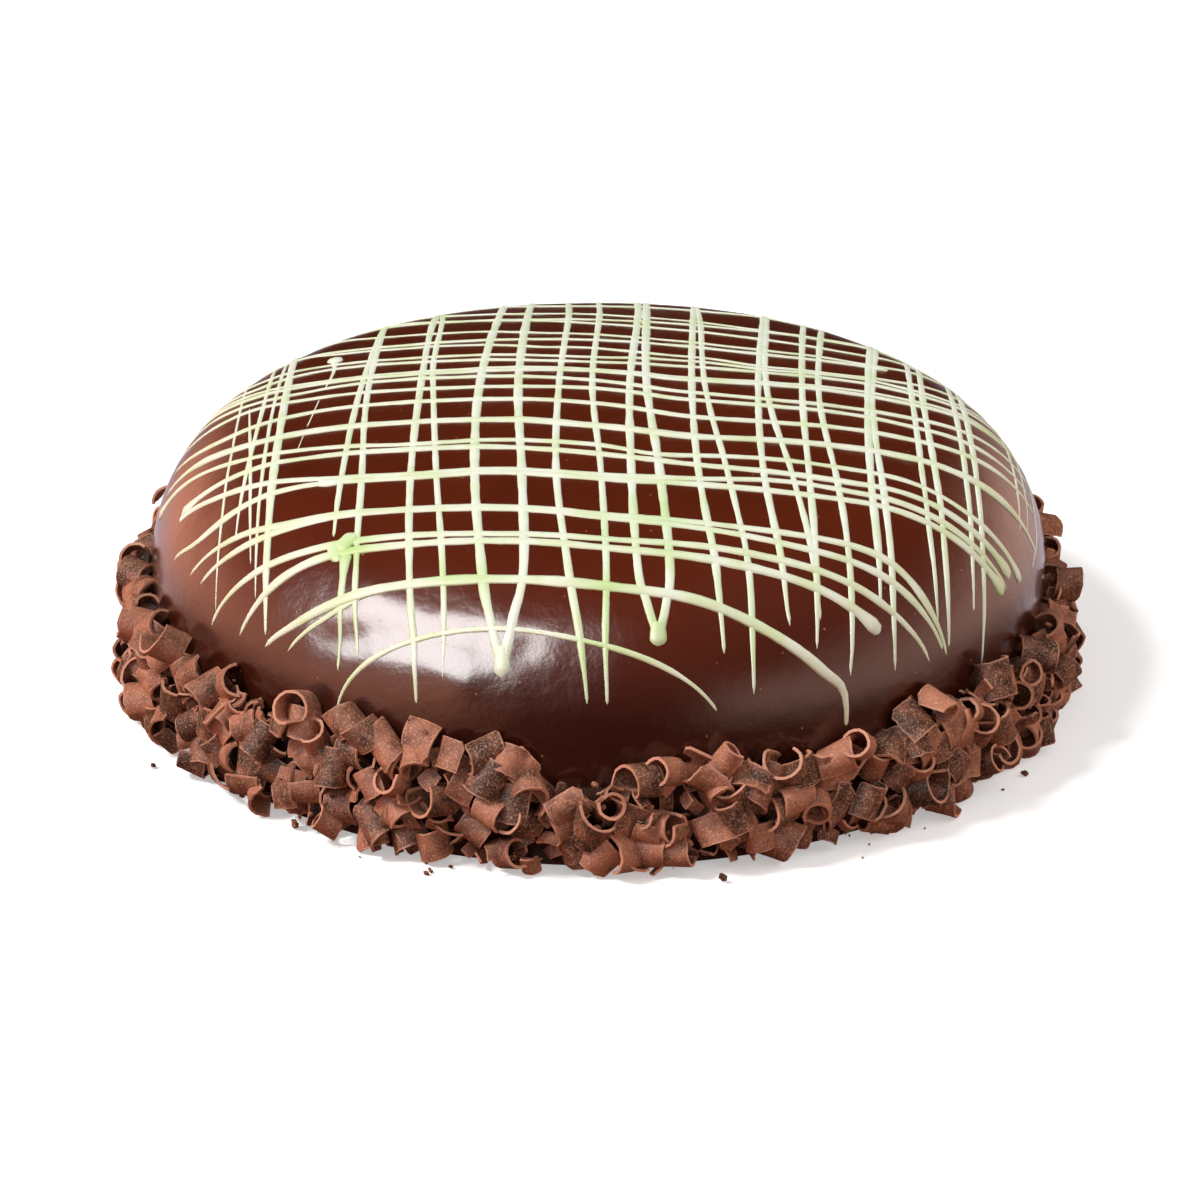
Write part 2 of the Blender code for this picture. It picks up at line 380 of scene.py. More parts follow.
@dataclass(frozen=True)
class IcingFinish(Finish):
    """White chocolate icing tinted with mint, piped from a bag and set.

    It has a satin skin. Its tint is a little mottled, and a fresher green in places where it was not
    stirred in.
    """

    name: str = "piped_mint_icing"
    pale: str = "#e9f3e2"
    tinted: str = "#dcecc6"
    fresh: str = "#b4dd74"
    roughness: float = 0.42
    ior: float = 1.45
    mottle_mm: float = 7.0
    mottle_edge: Span = (0.42, 0.66)
    grain_mm: float = 0.8
    grain_depth: float = 0.12 * MM
    grain_strength: float = 0.3

    def inputs(self, shading: Shading) -> dict[str, Any]:
        """Mottled tint with green places, over a fine grain.

        Args:
            shading: The material's node tree.

        Returns:
            The value or output for each input of the shader.
        """
        place = shading.place()
        mottle = shading.noise(place, per_metre(self.mottle_mm), 3.0)
        share = shading.ramp(mottle, self.mottle_edge)
        base = shading.blend(share, linear(self.pale), linear(self.tinted))
        grain = shading.noise(place, per_metre(self.grain_mm), 2.0)
        return {
            "Base Color": shading.blend(shading.attribute("greenness"), base, linear(self.fresh)),
            "Normal": shading.relief(grain, self.grain_depth, self.grain_strength),
            "Roughness": self.roughness,
            "IOR": self.ior,
        }


@dataclass(frozen=True)
class ShavedFinish(Finish):
    """Chocolate scraped off a block by a blade.

    The outer face is dull and dusty with the pale bloom and fine grain of the scrape. Its edges are lighter,
    partly broken chocolate and partly a painted highlight, and the hollow face is smooth, its darkness
    painted shade.
    """

    dark: str
    light: str
    dust: str
    # The border's colour: partly broken chocolate, partly a painted highlight on the edges.
    edge: str
    roughness: float
    dust_share: float
    grain_depth_mm: float
    patch_mm: float = 3.4
    patch_edge: Span = (0.50, 0.98)
    tone_share: float = 0.5
    dust_mm: float = 0.45
    dust_edge: Span = (0.50, 0.68)
    dust_roughness: float = 0.65
    edge_highlight_share: float = 0.05
    edge_highlight_strength: float = 0.8
    scrapes: tuple[float, float, float] = (3.0, 26.0, 1.0)
    grain_share: float = 0.7
    grain_strength: float = 0.7
    gloss: float = 0.3

    def inputs(self, shading: Shading) -> dict[str, Any]:
        """Patches with each curl's own tone, then dust, then lighter edges, partly painted highlight, over
        scrapes with a grain.

        Args:
            shading: The material's node tree.

        Returns:
            The value or output for each input of the shader.
        """
        place, strip = shading.place(), shading.place("UV")
        patch = shading.noise(place, per_metre(self.patch_mm), 4.0)
        mixed = shading.math("MULTIPLY_ADD", shading.attribute("tone"), self.tone_share, patch)
        fine = shading.noise(place, per_metre(self.dust_mm), 3.0, self.dust_roughness)
        dusty = shading.ramp(fine, self.dust_edge, (0.0, self.dust_share))
        # Painted highlight: each strip is made lighter near its border, partly for broken chocolate and
        # partly for light caught on the edges.
        inwards = [shading.math("PINGPONG", along, 0.5) for along in shading.parts(strip)[:2]]
        border = shading.math("MINIMUM", *inwards)
        edge_highlight_mask = shading.ramp(border, (0.0, self.edge_highlight_share), (self.edge_highlight_strength, 0.0))
        colour = shading.ramp(mixed, self.patch_edge)
        colour = shading.blend(colour, linear(self.dark), linear(self.light))
        colour = shading.blend(dusty, colour, linear(self.dust))
        stretched = add_node(shading.tree, "Mapping", {"Vector": strip, "Scale": self.scrapes})
        scrape = shading.noise(stretched.outputs[0], 1.0, 2.0)
        height = shading.math("MULTIPLY_ADD", fine, self.grain_share, scrape)
        return {
            "Base Color": shading.blend(edge_highlight_mask, colour, linear(self.edge)),
            "Normal": shading.relief(height, self.grain_depth_mm * MM, self.grain_strength),
            "Roughness": self.roughness,
            "Specular IOR Level": self.gloss,
        }


@dataclass(frozen=True)
class FloorFinish(Finish):
    """Matt white studio paper, lit a little from below: even, and with no gloss of its own."""

    name: str = "matt_white_studio_paper"
    colour: str = "#f4f4f3"
    glow: float = 0.42
    roughness: float = 0.9
    gloss: float = 0.2
    fibre_mm: float = 3.0
    fibre_depth: float = 0.05 * MM
    fibre_strength: float = 0.1

    def inputs(self, shading: Shading) -> dict[str, Any]:
        """One even colour that glows a little, over faint fibres.

        Args:
            shading: The material's node tree.

        Returns:
            The value or output for each input of the shader.
        """
        fibre = shading.noise(shading.place(), per_metre(self.fibre_mm), 2.0)
        return {
            "Base Color": linear(self.colour),
            "Emission Color": linear(self.colour),
            "Emission Strength": self.glow,
            "Normal": shading.relief(fibre, self.fibre_depth, self.fibre_strength),
            "Roughness": self.roughness,
            "Specular IOR Level": self.gloss,
        }


# ------------------------------------------------------------------- the glaze


# Dents of the glaze at the front of the shoulder, as x, y, z, reach and depth in millimetres.
DENTS: tuple[tuple[float, float, float, float, float], ...] = (
    (-56, -82, 41, 4.5, -0.6),
    (-50, -85, 42, 4.0, -0.55),
    (-44, -87, 43.5, 3.6, -0.5),
    (-38, -89.5, 44.5, 3.4, -0.5),
    (-31, -91.5, 45.5, 3.4, -0.5),
    (-24, -93.5, 45.5, 3.4, -0.45),
    (-15, -95.5, 45, 3.6, -0.4),
    (-46, -80, 50, 6.0, 0.45),
    (-33, -86, 51, 5.0, -0.35),
    (-28, -97, 38, 5.0, 0.4),
    (-8, -97, 44, 8.0, -0.5),
    (8, -93, 50, 8.0, 0.3),
    (31, -90, 47, 9.0, -0.4),
    (62, -74, 44, 10.0, -0.4),
)
DENT_FADES_AT = 2.5


@dataclass
class GlazedCake:
    """The cake under its glaze: a low crown, a deep round shoulder, and an upright side."""

    radius: float = 102.5 * MM
    height: float = 66.0 * MM
    crown_radius: float = 400.0 * MM
    shoulder_radius: float = 34.0 * MM
    foot_inset: float = 1.2 * MM
    foot_rise: float = 0.8 * MM
    even_below: float = 0.5 * MM
    sides: int = 320
    crown_rings: int = 16
    shoulder_rings: int = 38
    side_rings: int = 10
    slump: float = 0.28 * MM
    slump_length: float = 46.0 * MM
    dimple: float = 0.18 * MM
    dimple_length: float = 14.0 * MM
    finish: GlazeFinish = GlazeFinish()

    def __post_init__(self) -> None:
        """Works out the centres of the crown's and the shoulder's arcs."""
        reach = self.radius - self.shoulder_radius
        spread = self.crown_radius - self.shoulder_radius
        self.crown_centre = self.height - self.crown_radius
        self.shoulder_reach = reach
        self.shoulder_centre = self.crown_centre + math.sqrt(spread**2 - reach**2)
        self.crown_angle = math.asin(reach / spread)
        self.crown_edge = self.crown_radius * math.sin(self.crown_angle)

    def normal(self, x: float, y: float) -> Vector:
        """The direction in which the glaze faces over a point of the floor.

        Args:
            x: The point's place to the right.
            y: The point's place to the back.

        Returns:
            A unit vector.
        """
        reach = max(math.hypot(x, y), 1e-9)
        if reach < self.crown_edge:
            slope = reach / self.crown_radius
        else:
            slope = min((reach - self.shoulder_reach) / self.shoulder_radius, 1.0)
        return Vector((x / reach * slope, y / reach * slope, math.sqrt(1 - slope * slope)))

    def unevenness(self, point: Vector) -> float:
        """How far the glaze stands out of its even form: slow slumps, small dimples and dents.

        Args:
            point: A point on or near the glaze.

        Returns:
            The height over the even form.
        """
        slow = noise.noise(point / self.slump_length)
        quick = noise.noise(point / self.dimple_length + Vector((3.1, 5.7, 1.9)))
        total = self.slump * slow + self.dimple * quick
        for x, y, z, reach, depth in DENTS:
            apart = (point - Vector((x, y, z)) * MM).length / (reach * MM)
            if apart < DENT_FADES_AT:
                total += depth * MM * math.exp(-(apart**2))
        return total

    def height_over(self, point: Vector) -> tuple[float, Vector]:
        """How far a point lies outside the cake's even form, and the way that the glaze faces there.

        Args:
            point: A point near the glaze.

        Returns:
            The height over the even form and a unit vector.
        """
        from_crown = point - UP * self.crown_centre
        if from_crown.angle(UP) < self.crown_angle:
            return from_crown.length - self.crown_radius, from_crown.normalized()
        reach = point.xy.length
        side = (point.xy / reach).to_3d()
        if point.z < self.shoulder_centre:
            return reach - self.radius, side
        away = point - side * self.shoulder_reach - UP * self.shoulder_centre
        return away.length - self.shoulder_radius, away.normalized()

    def point(self, x: float, y: float) -> Vector:
        """The point of the glaze over a point of the floor. Past the cake's edge it runs on down the side.

        Args:
            x: The point's place to the right.
            y: The point's place to the back.

        Returns:
            The point, with the glaze's unevenness.
        """
        normal = self.normal(x, y)
        reach = math.hypot(x, y)
        if reach < self.crown_edge:
            even = Vector((x, y, self.crown_centre + self.crown_radius * normal.z))
        elif reach < self.radius:
            even = Vector((x, y, self.shoulder_centre + self.shoulder_radius * normal.z))
        else:
            wall = Vector((x, y)) * (self.radius / reach)
            even = Vector((*wall, self.shoulder_centre - (reach - self.radius)))
        return even + normal * self.unevenness(even)

    def outline(self) -> list[Point]:
        """The half section, from the middle of the base round to the top.

        Returns:
            Points as (radius, height).
        """
        wall = self.shoulder_centre - self.foot_rise
        points = [(0.0, 0.0), (self.radius - self.foot_inset, 0.0), (self.radius, self.foot_rise)]
        for ring in range(1, self.side_rings):
            points.append((self.radius, self.foot_rise + wall * ring / self.side_rings))
        for ring in range(self.shoulder_rings + 1):
            angle = math.pi / 2 + (self.crown_angle - math.pi / 2) * ring / self.shoulder_rings
            reach = self.shoulder_reach + self.shoulder_radius * math.sin(angle)
            points.append((reach, self.shoulder_centre + self.shoulder_radius * math.cos(angle)))
        for ring in range(self.crown_rings - 1, -1, -1):
            angle = self.crown_angle * ring / self.crown_rings
            reach = self.crown_radius * math.sin(angle)
            points.append((reach, self.crown_centre + self.crown_radius * math.cos(angle)))
        return points

    def build(self) -> None:
        """Turns the outline round the upright axis, and lets the glaze slump a little."""
        cake = turned_solid(self.outline(), self.sides, "glazed_cake_body")
        for vert in cake.data.vertices:
            if vert.co.z < self.even_below:
                continue
            if vert.co.z < self.shoulder_centre:
                normal = vert.co.xy.normalized().to_3d()
            else:
                normal = self.normal(vert.co.x, vert.co.y)
            vert.co += normal * self.unevenness(vert.co)
        cake.data.materials.append(self.finish.build())
        smooth_by_angle(cake, 50.0)
        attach(cake, "root")
        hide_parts("glazed_cake")
        log.info("glazed cake: %d faces", len(cake.data.polygons))


# ----------------------------------------------------------------- the drizzle


class End(Enum):
    """How a stroke of icing ends."""

    THIN = "thin"  # the bag was lifted on the run, so it thins out to a point
    ROUND = "round"  # the bag stopped, so a fat round end is left
    CUT = "cut"  # it goes on as another stroke


@dataclass(frozen=True)
class Stroke:
    """One pull of the icing bag, as (x, y) points over the cake in millimetres, and its width in them."""

    points: tuple[Point, ...]
    width: float
    first: End = End.THIN
    last: End = End.THIN


def pull(width: float, *points: Point, first: End = End.THIN, last: End = End.THIN) -> Stroke:
    """A stroke with its width named first, which reads well in a list."""
    return Stroke(points, width, first, last)


# From the back to the front, the left first.
LENGTHWAYS: tuple[Stroke, ...] = (
    pull(0.8, (-84, 46), (-82, 0), (-81, -45), (-81, -60)),
    pull(1.2, (-78, 62), (-76.5, 0), (-77, -45), (-77, -52)),
    pull(1.0, (-75, 62), (-74, 0), (-72.5, -45), (-71.5, -67)),
    pull(2.2, (-74, 66), (-71.5, 0), (-70, -45), (-69, -73)),
    pull(0.9, (-80, 5), (-76, -30), (-73, -60)),
    pull(1.0, (-62.5, 31), (-62, 20), (-63, 8), first=End.ROUND),
    pull(0.9, (-63.6, 2), (-64.4, -8), (-65, -14)),
    pull(0.9, (-65.3, -18), (-66, -26)),
    pull(1.7, (-49, 88), (-52.5, 60), (-54.5, 0), (-55, -45), (-55, -64)),
    pull(1.7, (-51, 86), (-52.5, 60), (-52.5, 0), (-50.5, -45), (-49.5, -80), (-49, -87)),
    pull(1.8, (-52, -69), (-52.4, -76), (-53, -86), first=End.ROUND),
    pull(1.9, (-37, 93), (-40.5, 60), (-40.5, 0), (-40, -45), (-38.3, -80), (-36.5, -95)),
    pull(1.6, (-41, 91), (-38.5, 60), (-38.5, 20), (-37.5, 0), (-34.5, -45), (-31.5, -80), (-31, -95)),
    pull(
        2.3, (-22.5, 97), (-24.5, 60), (-27, 0), (-26.3, -45), (-23.6, -80), (-21.4, -91), (-19.4, -96.2),
        last=End.CUT,
    ),
    pull(
        2.3, (-16, 98), (-17.5, 60), (-18.2, 0), (-16.3, -45), (-15.0, -80), (-17.0, -91), (-18.8, -96.2),
        last=End.CUT,
    ),
    pull(1.8, (-9, 99), (-7.5, 60), (-9, 0), (-9, -45), (-6.2, -80), (-3.4, -95), (-2, -101)),
    pull(1.7, (-1, 99.5), (0, 60), (-1.5, 0), (0.5, -45), (1.7, -80), (1.6, -95), (2, -101)),
    pull(2.1, (9, 99), (9.5, 60), (7, 0), (7, -45), (8.0, -80), (9.9, -89), (11.8, -93.8), last=End.CUT),
    pull(
        2.2, (12, 98.5), (11.5, 60), (10.8, 0), (13, -45), (14.6, -80), (13.7, -89), (12.3, -93.8),
        last=End.CUT,
    ),
    pull(1.9, (24.5, 96), (23, 60), (21, 0), (21.3, -45), (24, -80), (25.5, -94)),
    pull(1.6, (23, 96), (24.5, 60), (24, 0), (27.5, -45), (30.8, -80), (31.5, -96)),
    pull(1.8, (42, 91), (40, 60), (36, 0), (35.3, -45), (38, -80), (39, -87)),
    pull(1.6, (43, 90), (41, 60), (38, 0), (41.5, -45), (44, -72), (45.3, -84)),
    pull(1.8, (53, 85), (50, 60), (46, 0), (45, -45), (44.7, -80), (44.5, -88)),
    pull(1.7, (57, 83), (54.5, 60), (49.8, 0), (51, -45), (52, -80), (51.5, -87)),
    pull(2.1, (70, 71), (67, 60), (61, 0), (58.3, -45), (58.3, -76)),
    pull(1.8, (66, 75), (68, 60), (62, 0), (60.8, -45), (61.3, -81)),
    pull(1.6, (75, 66), (73.8, 45), (71.5, 0), (70, -45), (71, -70)),
    pull(1.8, (78, 62), (76.8, 45), (74, 0), (73.3, -45), (73.5, -70)),
    pull(1.7, (84, 52), (82.6, 30), (81.5, 0), (80, -45), (79.5, -61)),
    pull(1.9, (86.5, 48), (85, 30), (84, 0), (82.5, -45), (82, -62)),
    pull(1.0, (92, 34), (93.5, 15), (94, -10), (93, -30)),
    pull(1.0, (95.5, 22), (96, 5), (96, -15), (95, -28)),
    pull(1.0, (97, 20), (98.2, 2), (98, -20), (96, -32)),
)

# From the left to the right, the front first.
CROSSWAYS: tuple[Stroke, ...] = (
    pull(1.2, (-54, -87.5), (-38, -89.5), (-20, -92), (0, -95.5), (24, -98.8)),
    pull(
        2.3, (-69, -74), (-60, -77), (-40, -80.5), (0, -86), (20, -87.4), (36, -89.2), (45, -89.4),
        (50, -88.6), (51.2, -89.6),
    ),
    pull(1.5, (-64, -78), (-54, -79.5), (-45, -80)),
    pull(
        2.1, (-75, -68), (-60, -68), (-40, -71), (-20, -73), (0, -76), (20, -78), (40, -79), (58, -79.7),
        last=End.ROUND,
    ),
    pull(
        1.8, (-82, -60), (-70, -63), (-50, -67), (-20, -70.5), (0, -73), (20, -74.5), (40, -75.5),
        (60, -75.5), (69, -74.8),
    ),
    pull(
        1.8, (-85, -52), (-75, -55), (-60, -57.5), (-20, -61), (0, -65), (20, -68), (40, -71),
        (60, -70.7), (72, -71.5),
    ),
    pull(
        1.8, (-88, -47), (-75, -52), (-60, -56.5), (-20, -60.3), (0, -64), (20, -66), (40, -67.5),
        (60, -67), (73, -71),
    ),
    pull(
        2.0, (-93, -37), (-85, -43), (-70, -43.5), (-56, -44), (-40, -45.5), (-20, -46), (0, -49.5),
        (20, -51), (40, -51.7), (60, -52), (80, -51.5), (87, -50.5),
        last=End.ROUND,
    ),
    pull(
        1.9, (-92, -29.6), (-80, -36), (-60, -41.5), (-40, -44), (-20, -44.7), (0, -48), (20, -48.7),
        (40, -47), (60, -48.7), (80, -49.5), (88, -48.5),
        first=End.CUT,
    ),
    pull(
        2.0, (-92, -28.5), (-80, -30.5), (-60, -30.7), (-40, -32.5), (-20, -34.5), (0, -38.7),
        (20, -42.3), (40, -43.5), (60, -44.5), (80, -46), (89, -45.5),
        first=End.ROUND,
        last=End.ROUND,
    ),
    pull(
        1.7, (-99.6, -12.6), (-80, -24), (-60, -26.7), (-40, -30), (-20, -31), (0, -34.5), (12, -38.3),
        (25, -38), (40, -37.5), (60, -38.5), (80, -42), (92, -41.6),
        first=End.ROUND,
        last=End.ROUND,
    ),
    pull(
        2.7, (-98, -9), (-80, -17.5), (-60, -17), (-20, -21), (0, -25), (20, -29), (40, -28),
        (60, -27.3), (80, -28.5), (97, -27),
    ),
    pull(
        2.2, (-97, -2), (-88, -8), (-80, -9), (-60, -5.5), (-20, -9.5), (0, -13), (20, -18.5),
        (40, -18.5), (60, -17.5), (80, -18.5), (98, -15),
    ),
    pull(
        2.0, (-97, 6), (-88, 3), (-80, 2.5), (-60, 3), (-20, -1.7), (0, -4), (20, -9), (40, -9.7),
        (60, -9), (80, -11.5), (97, -10),
    ),
    pull(
        2.0, (-96, 13), (-80, 7), (-60, 9), (-40, 8), (-20, 5), (0, 1), (20, -4.5), (40, -6), (60, -5),
        (80, -5.5), (98, -3),
    ),
    pull(
        2.3, (-95, 17), (-80, 12), (-60, 13), (-20, 9.5), (0, 7.5), (20, 3.5), (40, 3.5), (60, 4.5),
        (80, 3.5), (98, 5),
    ),
    pull(
        1.6, (-95, 20), (-80, 15), (-60, 14.5), (-20, 11.5), (0, 8.7), (20, 5), (40, 5), (60, 7),
        (80, 6), (97, 8),
    ),
    pull(
        2.0, (-94, 25), (-80, 19), (-60, 23.5), (-20, 17), (0, 14.3), (20, 12.7), (40, 11.7), (60, 13),
        (80, 10.5), (97, 14),
    ),
    pull(
        1.8, (-93, 31), (-80, 25), (-60, 27), (-20, 21), (0, 18), (20, 17), (40, 14), (60, 16),
        (80, 13), (96, 18),
    ),
    pull(
        1.7, (-89, 42), (-74, 38.5), (-62, 36), (-41, 33), (-26, 30.4), (-14, 26.8), (-2, 25.3),
        (11, 21.8), (24, 19.7), (37, 16.4), (51, 16.6), (66, 18), (82, 20), (95, 25),
    ),
    pull(
        2.2, (-89, 43), (-75, 38), (-60, 38), (-20, 34), (0, 32), (20, 29), (40, 26), (68, 27),
        last=End.ROUND,
    ),
    pull(
        1.8, (-80, 56), (-66, 50.5), (-53, 47.2), (-42, 45.5), (-26, 42.8), (-14, 39.5), (-2, 37.8),
        (11, 34.8), (24, 32.3), (38, 29.8), (52, 29.4), (66, 28.5), (80, 31), (92, 36),
    ),
    pull(
        1.9, (-72, 68), (-56, 62.5), (-42, 58.5), (-27, 55.2), (-14.5, 53), (-2, 49.2), (11, 46.2),
        (24, 42.9), (38, 40.1), (53, 37.9), (67, 36.4), (80, 38), (90, 42),
    ),
    pull(2.0, (-77, 61), (-60, 59), (-20, 55), (0, 53), (40, 48), (70, 45), (86, 46)),
    pull(
        1.8, (-68, 73), (-52, 69), (-38, 65.5), (-27, 63), (-14.6, 61.1), (-2, 60), (11.5, 56.3),
        (24.5, 54), (39, 49.6), (53, 47.5), (67, 47), (80, 48), (87, 50),
    ),
    pull(2.0, (-63, 75), (-40, 74), (-10, 72), (15, 70), (40, 66), (62, 63), (73, 65)),
    pull(1.9, (-49, 85), (-30, 85), (-8, 83), (15, 81), (38, 78), (58, 77)),
    pull(1.8, (-27, 94.5), (-12, 94), (5, 93), (20, 92), (34, 91)),
)

# Drops where the bag was held over one place, and the round ends of the two turns at the front.
DROPS: tuple[Stroke, ...] = (
    pull(1.5, (-60.4, -43.3), (-57.0, -44.0), (-53.4, -43.6), first=End.ROUND, last=End.ROUND),
    pull(1.6, (-54.2, -68.2), (-52.2, -66.6), (-50.4, -64.6), first=End.ROUND, last=End.ROUND),
    pull(1.2, (-55.4, -65.4), (-54.6, -68.0), (-53.6, -70.6), first=End.ROUND, last=End.ROUND),
    pull(1.4, (-62.8, 32.6), (-62.4, 30.6), (-62.2, 28.8), first=End.ROUND, last=End.ROUND),
    pull(2.2, (-19.1, -94.4), (-19.1, -96.0), (-19.1, -97.6), first=End.CUT, last=End.ROUND),
    pull(1.95, (12.1, -92.0), (12.1, -93.6), (12.1, -95.2), first=End.CUT, last=End.ROUND),
)

# Where the tint was not stirred in, as x, y, reach in millimetres, and strength.
GREEN_SPOTS: tuple[tuple[float, float, float, float], ...] = (
    (-51.5, -69, 5.0, 0.8),
    (-53, -82, 6.0, 0.4),
    (-23, -83, 5.0, 0.45),
    (2, -86, 5.0, 0.5),
    (1.8, -72, 5.0, 0.4),
    (1.8, -94, 5.0, 0.45),
    (-2.5, -98, 4.0, 0.45),
    (13.4, -62, 7.0, 0.6),
    (13.8, -76, 4.0, 0.4),
    (-31, -80, 5.0, 0.5),
    (30, -88.6, 6.0, 0.35),
    (12, -94, 4.0, 0.4),
    (88, -50, 8.0, 0.3),
    (72, -71, 6.0, 0.25),
)


@dataclass(frozen=True)
class Fullness:
    """The shares of their stated width that strokes have at the front and at the back of the cake."""

    front: float = 1.0
    back: float = 1.0
    reach: float = 60.0 * MM

    def at(self, y: float) -> float:
        """The share at a distance to the back from the cake's middle."""
        return self.front + (self.back - self.front) * rise(-self.reach, self.reach, y)


@dataclass
class MintDrizzle:
    """The net of mint icing: strokes from back to front, then strokes from side to side over them."""

    cake: GlazedCake
    fine_step: float = 0.2 * MM
    step: float = 1.5 * MM
    least_steps: int = 12
    flatness: float = 0.38
    taper: float = 17.0 * MM
    thinnest: float = 0.45
    swell: float = 1.9
    swell_length: float = 3.6 * MM
    wobble: float = 0.2
    wobble_length: float = 8.0 * MM
    ride_height: float = -0.1
    cross_lift: float = 0.2
    cross_reach: float = 1.3
    profile_steps: int = 2
    lengthways: IcingFinish = IcingFinish()
    crossways: IcingFinish = IcingFinish("piped_cream_mint_icing", pale="#e8efda", tinted="#dbe8bc")

    def path(self, stroke: Stroke) -> list[Vector]:
        """Bends a smooth line through a stroke's points and lays it on the glaze.

        Args:
            stroke: The stroke.

        Returns:
            Points of the glaze, about one step apart.
        """
        plan = [Vector((x * MM, y * MM)) for x, y in stroke.points]
        plan = [2 * plan[0] - plan[1], *plan, 2 * plan[-1] - plan[-2]]
        fine: list[Vector] = []
        for before, start, end, after in zip(plan, plan[1:], plan[2:], plan[3:]):
            bend = 2 * before - 5 * start + 4 * end - after
            turn = 3 * start - before - 3 * end + after
            count = max(int((end - start).length / self.fine_step), 1)
            for i in range(count):
                t = i / count
                fine.append(0.5 * (2 * start + (end - before) * t + bend * t**2 + turn * t**3))
        fine.append(plan[-2])
        laid = [self.cake.point(place.x, place.y) for place in fine]
        step = min(self.step, (laid[-1] - laid[0]).length / self.least_steps)
        kept = [laid[0]]
        for point in laid[1:]:
            if (point - kept[-1]).length >= step:
                kept.append(point)
        if (laid[-1] - kept[-1]).length > 0.3 * step:
            kept.append(laid[-1])
        return kept

    def end_size(self, end: End, left: float, half: float) -> float:
        """How wide a stroke is near one end, as a share of its full width.

        Args:
            end: The kind of end.
            left: The distance to that end.
            half: Half of the stroke's width.

        Returns:
            The share.
        """
        if end is End.CUT:
            return 1.0
        if end is End.THIN:
            size = self.thinnest + (1 - self.thinnest) * rise(0.0, self.taper, left)
        else:
            size = 1.0 + (self.swell - 1.0) * (1.0 - rise(0.0, 2 * self.swell_length, left))
        blunt = max(1.0 - left / (half * size), 0.0)
        return size * math.sqrt(max(1.0 - blunt**2, 0.02))

    def sizes(
        self, path: list[Vector], stroke: Stroke, number: int, fullness: Fullness
    ) -> list[float]:
        """The icing's radius at each point of a path.

        Args:
            path: The points.
            stroke: The stroke that they belong to.
            number: The stroke's number, which gives each its own wobble.
            fullness: The shares of its stated width that the stroke has.

        Returns:
            One radius for each point.
        """
        run = [0.0]
        for here, there in zip(path, path[1:]):
            run.append(run[-1] + (there - here).length)
        sizes = []
        for distance, point in zip(run, path):
            half = fullness.at(point.y) * stroke.width * MM / 2
            along = Vector((distance / self.wobble_length, number * 7.3, 0.5))
            wobble = 1 + self.wobble * (noise.noise(along) + 0.5 * noise.noise(along * 3.1))
            first = self.end_size(stroke.first, distance, half)
            last = self.end_size(stroke.last, run[-1] - distance, half)
            sizes.append(half * wobble * first * last)
        return sizes

    def pipe(
        self,
        strokes: tuple[Stroke, ...],
        name: str,
        finish: IcingFinish,
        fullness: Fullness,
        below: list[tuple[Vector, float]],
    ) -> list[tuple[Vector, float]]:
        """Pipes a set of strokes as one curve, and makes it a mesh.

        Args:
            strokes: The strokes.
            name: The piece's name.
            finish: The icing.
            fullness: The shares of their stated width that the strokes have.
            below: Points and radii of the icing that already lies there, which these ride over.

        Returns:
            The points and radii of these strokes.
        """
        tree = kdtree.KDTree(max(len(below), 1))
        for i, (point, _) in enumerate(below):
            tree.insert(point, i)
        tree.balance()
        curve = bpy.data.curves.new(name, "CURVE")
        curve.dimensions = "3D"
        curve.bevel_depth = 1.0
        curve.bevel_resolution = self.profile_steps
        curve.use_fill_caps = True
        laid: list[tuple[Vector, float]] = []
        for number, stroke in enumerate(strokes):
            path = self.path(stroke)
            spline = curve.splines.new("POLY")
            spline.points.add(len(path) - 1)
            sizes = self.sizes(path, stroke, number, fullness)
            for target, point, size in zip(spline.points, path, sizes):
                lift = self.ride_height * size
                if below:
                    _, index, gap = tree.find(point)
                    under = below[index][1]
                    near = math.exp(-((gap / (self.cross_reach * (under + size))) ** 2))
                    lift += self.cross_lift * under * near
                target.co = (*(point + self.cake.height_over(point)[1] * lift), 1.0)
                target.radius = size
                laid.append((point, size))
        drizzle = bpy.data.objects.new(name, curve)
        bpy.context.scene.collection.objects.link(drizzle)
        select_only(drizzle)
        bpy.ops.object.convert(target="MESH")
        drizzle = bpy.context.object
        drizzle.name = drizzle.data.name = name
        self.flatten(drizzle)
        self.tint(drizzle)
        drizzle.data.materials.clear()
        drizzle.data.materials.append(finish.build())
        bpy.ops.object.shade_smooth()
        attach(drizzle, "root")
        log.info("%s: %d strokes, %d faces", name, len(strokes), len(drizzle.data.polygons))
        return laid

    def flatten(self, drizzle: bpy.types.Object) -> None:
        """Sinks round strokes to a flat, wide section on the glaze, as soft icing runs before it sets.

        Args:
            drizzle: The strokes' mesh object.
        """
        for vert in drizzle.data.vertices:
            height, up = self.cake.height_over(vert.co)
            level = self.cake.unevenness(vert.co)
            vert.co -= up * ((height - level) * (1.0 - self.flatness))

    def tint(self, drizzle: bpy.types.Object) -> None:
        """Marks on each corner of the mesh how green the icing is there.

        Args:
            drizzle: The strokes' mesh object.
        """
        mesh = drizzle.data
        green = mesh.attributes.new("greenness", "FLOAT", "POINT")
        places = np.empty(len(mesh.vertices) * 3, np.float32)
        mesh.vertices.foreach_get("co", places)
        places = places.reshape(-1, 3) / MM
        total = np.zeros(len(places), np.float32)
        for x, y, reach, strength in GREEN_SPOTS:
            apart = (places[:, 0] - x) ** 2 + (places[:, 1] - y) ** 2
            total += strength * np.exp(-apart / reach**2)
        green.data.foreach_set("value", np.minimum(total, 1.0))

